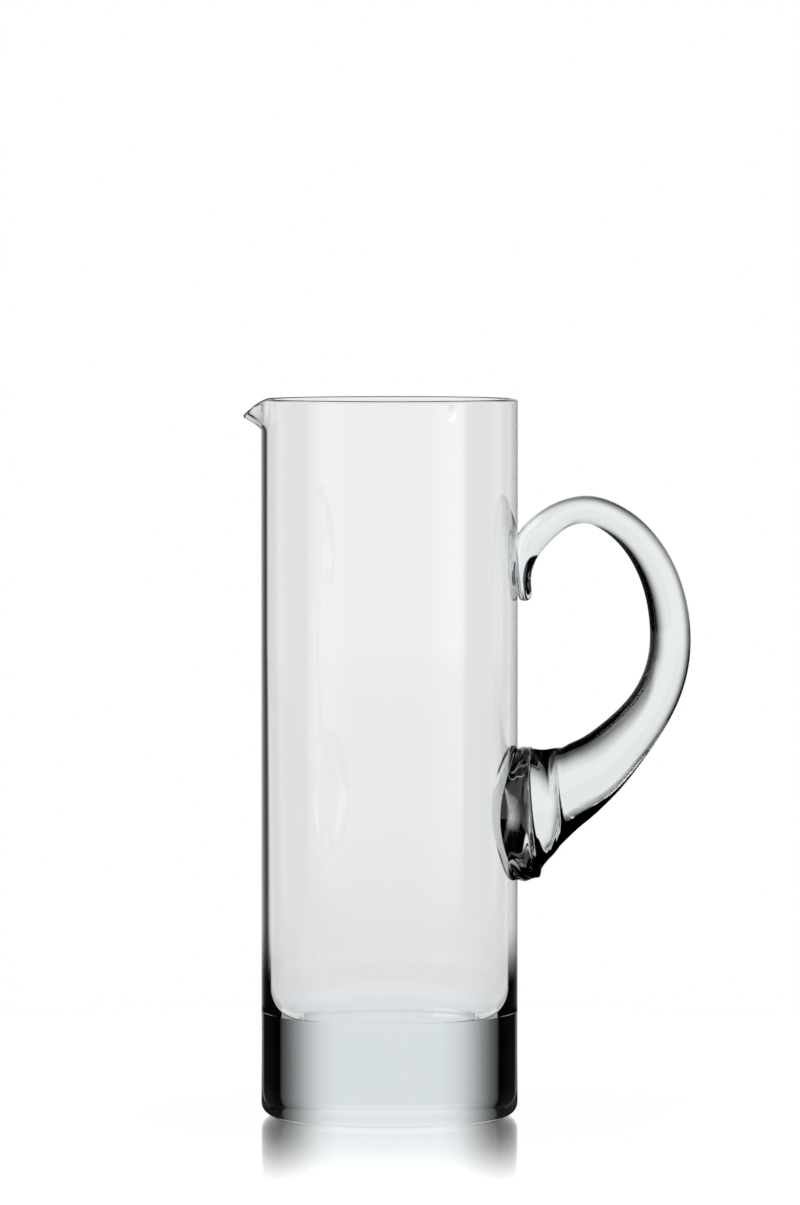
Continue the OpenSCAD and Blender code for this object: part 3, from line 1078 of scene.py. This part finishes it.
    def add_paths(self, tree: Tree, rise: Node, ray: Any, inside: Node) -> Rows:
        """Adds the brightness of light that took a path of its own through the glass.

        Args:
            tree: The world's node tree.
            rise: Elevation of the ray.
            ray: Outputs of the Light Path node.
            inside: 1 for light that was mirrored inside one piece of glass.

        Returns:
            Rows to mix in turn: a share, a brightness and how the two blend.
        """
        mirrored, passed, seams = (ray[name + " Depth"] for name in ("Glossy", "Transmission", "Transparent"))
        twice = add_product(tree, (ABOVE, mirrored, TWICE))
        beside = add_product(tree, inside, (ABOVE, seams, TWICE), (BELOW, seams, FOUR_TIMES))
        both = add_product(tree, (ABOVE, passed, FOUR_TIMES), twice)
        through = add_product(tree, (ABOVE, seams, TWICE), (ABOVE, passed, THRICE), (BELOW, mirrored, ONCE))
        sheen = add_product(tree, (BELOW, passed, ONCE), (ABOVE, mirrored, ONCE),
                            *self.add_bands(tree, rise, self.sheen_from, self.sheen_to))
        return [(twice, self.twice_mirrored, "MIX"), (beside, self.beside_seam, "MIX"),
                (both, self.two_bodies, "MIX"), (through, self.through_seam, "LIGHTEN"),
                (sheen, self.sheen, "MIX")]


@dataclass
class Studio:
    """White studio: the photograph's camera, a glossy floor, a bright surround and a soft light, in mm."""

    lens: float = 235.45
    away: float = 2698.4  # distance of the camera from the object
    aside: float = 3.6  # how far the camera stands to the right
    eye_height: float = 300.0
    aim_height: float = 176.1  # height at which it looks
    clip: Band = (50.0, 50000.0)  # nearest and farthest distance that it sees
    box_size: Band = (550.0, 900.0)  # width and height of the softbox
    box_level: float = 1.5  # brightness of the softbox
    box_place: Point = (-1000.0, -640.0, 750.0)  # place of the softbox, to the left of the camera
    box_aim: Point = (0.0, 0.0, 200.0)  # place at which it points
    # Limits of the light's bounces, high enough for two walls and a thick base.
    bounces: tuple[tuple[str, int], ...] = (
        ("max_bounces", 32), ("transmission_bounces", 32), ("glossy_bounces", 24),
        ("transparent_max_bounces", 32))

    def build(self) -> None:
        """Makes the camera, the floor, the surround and the softbox."""
        self.add_camera()
        Floor().build()
        Surround().build()
        self.add_softbox()
        scene = bpy.context.scene
        scene.view_settings.view_transform = "Standard"
        for name, limit in self.bounces:
            setattr(scene.cycles, name, limit)

    @staticmethod
    def stand(data: bpy.types.ID, place: Point, aim: Point) -> Object:
        """Stands a camera or a light in the scene.

        Args:
            data: The camera or light.
            place: Where it stands.
            aim: Where it points.

        Returns:
            The new object.
        """
        made = bpy.data.objects.new(data.name, data)
        bpy.context.scene.collection.objects.link(made)
        made.location = Vector(place) * mm(1.0)
        made.rotation_euler = ((Vector(aim) - Vector(place)) * mm(1.0)).to_track_quat("-Z", "Y").to_euler()
        return made

    def add_camera(self) -> None:
        """Stands the camera where the photograph was taken from."""
        data = bpy.data.cameras.new("photo_camera")
        data.lens = self.lens
        data.clip_start, data.clip_end = (mm(distance) for distance in self.clip)
        bpy.context.scene.camera = self.stand(data, (self.aside, -self.away, self.eye_height),
                                              (self.aside, 0.0, self.aim_height))

    def add_softbox(self) -> None:
        """Hangs one soft light to the left of the camera, which gives the floor its soft shadow."""
        data = bpy.data.lights.new("left_softbox", "AREA")
        data.shape = "RECTANGLE"
        data.size, data.size_y = (mm(side) for side in self.box_size)
        data.energy = math.pi * data.size * data.size_y * self.box_level
        self.stand(data, self.box_place, self.box_aim).visible_camera = False


def main() -> None:
    """Builds the glass, then the studio, and reports each piece."""
    logging.basicConfig(level=logging.INFO, format="%(name)s: %(message)s")
    vessel = Vessel()
    body = vessel.build()
    handle = Handle(vessel).build(body)
    for piece, node, slot in ((body, "vessel", "vessel_glass"), (handle, "handle", "handle_glass")):
        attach(piece, "root")
        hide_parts(node)
        LOG.info("%s: %d faces", piece.name, len(piece.data.polygons))
    Studio().build()


if __name__ == "__main__":
    main()
